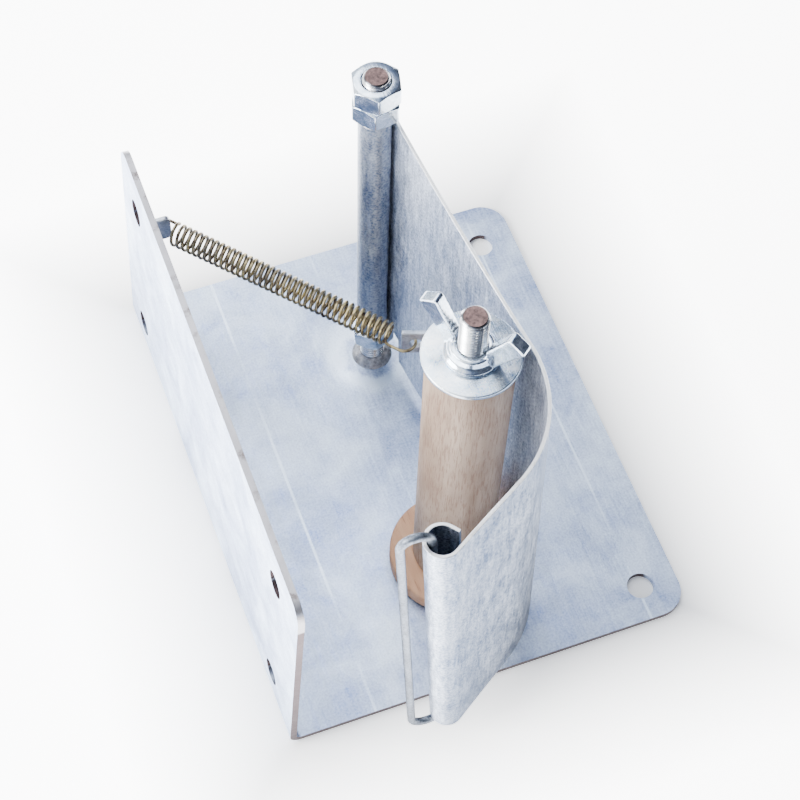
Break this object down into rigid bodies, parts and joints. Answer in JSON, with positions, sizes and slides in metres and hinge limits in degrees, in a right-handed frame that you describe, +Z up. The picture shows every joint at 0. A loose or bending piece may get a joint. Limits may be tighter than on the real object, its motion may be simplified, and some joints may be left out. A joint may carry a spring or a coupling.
{
  "type": "frame wire spool holder",
  "caption": "Bench holder for a coil of hive frame wire: folded sheet base, wooden core on a stud, and a hinged sheet flap pulled against the coil by an extension spring.",
  "frame": {"origin": "middle of the base plate's underside", "axes": "+Z up along both studs, +Y along the plate's long side, -X towards the folded flange"},
  "size_m": [0.1318, 0.1788, 0.1416],
  "materials": {
    "galvanised_sheet": "galvanised, cloudy, satin",
    "flap_sheet": "thin galvanised sheet, satin",
    "galvanised_wire": "dull drawn wire",
    "zinc_hardware": "bright zinc plated",
    "threaded_rod": "zinc plated thread, rusty cut end",
    "weld_metal": "rough, heat-stained",
    "spring_steel": "yellow zinc plated wire",
    "pale_wood": "bare sanded beech",
    "red_wood": "bare sawn wood"
  },
  "bodies": {
    "base": {"base_plate": "galvanised_sheet", "flange_spring_tab": "galvanised_sheet", "pivot_stud": "threaded_rod", "pivot_weld": "weld_metal", "pivot_support_nut": "zinc_hardware", "pivot_nut": "zinc_hardware", "pivot_lock_nut": "zinc_hardware", "spool_stud": "threaded_rod", "spool_weld": "weld_metal"},
    "flap": {"brake_flap": "flap_sheet", "flap_spring_tab": "flap_sheet", "wire_guide_loop": "galvanised_wire"},
    "spring": {"extension_spring": "spring_steel"},
    "spring_end": {"spring_hook": "spring_steel"},
    "spool": {"spool_disc": "red_wood", "spool_core": "pale_wood"},
    "washer": {"clamp_washer": "zinc_hardware"},
    "wing": {"wing_nut": "zinc_hardware"}
  },
  "joints": [
    {"name": "flap_swing", "type": "hinge", "parent": "base", "child": "flap", "pos_m": [0.0039, 0.0384, 0], "axis": [0, 0, 1], "range_deg": [0, 26], "stiffness_Nm_per_rad": 0.1, "springref_deg": -143.24, "deforming": ["extension_spring", "spring_hook"]},
    {"name": "spring_swivel", "type": "hinge", "parent": "base", "child": "spring", "pos_m": [-0.0568, 0.0742, 0.052], "axis": [0, 0, 1], "range_deg": [0, 7.18]},
    {"name": "spring_stretch", "type": "slide", "parent": "spring", "child": "spring_end", "axis": [0.6947, -0.7193, 0], "range_m": [0, 0.00664]},
    {"name": "spool_spin", "type": "hinge", "parent": "base", "child": "spool", "pos_m": [0.0014, -0.0416, 0], "axis": [0, 0, 1], "continuous": true},
    {"name": "wing_nut_turn", "type": "hinge", "parent": "washer", "child": "wing", "pos_m": [0.0014, -0.0416, 0.12], "axis": [0, 0, 1], "range_deg": [0, 1081]},
    {"name": "washer_lift", "type": "slide", "parent": "base", "child": "washer", "axis": [0, 0, 1], "range_m": [0, 0.00375]}
  ],
  "couplings": [
    {"joint": "spring_swivel", "follows": "flap_swing", "ratio": 0.27566},
    {"joint": "spring_stretch", "follows": "flap_swing", "m_per_rad": 0.014577},
    {"joint": "wing_nut_turn", "follows": "washer_lift", "rad_per_m": 5026.5}
  ]
}
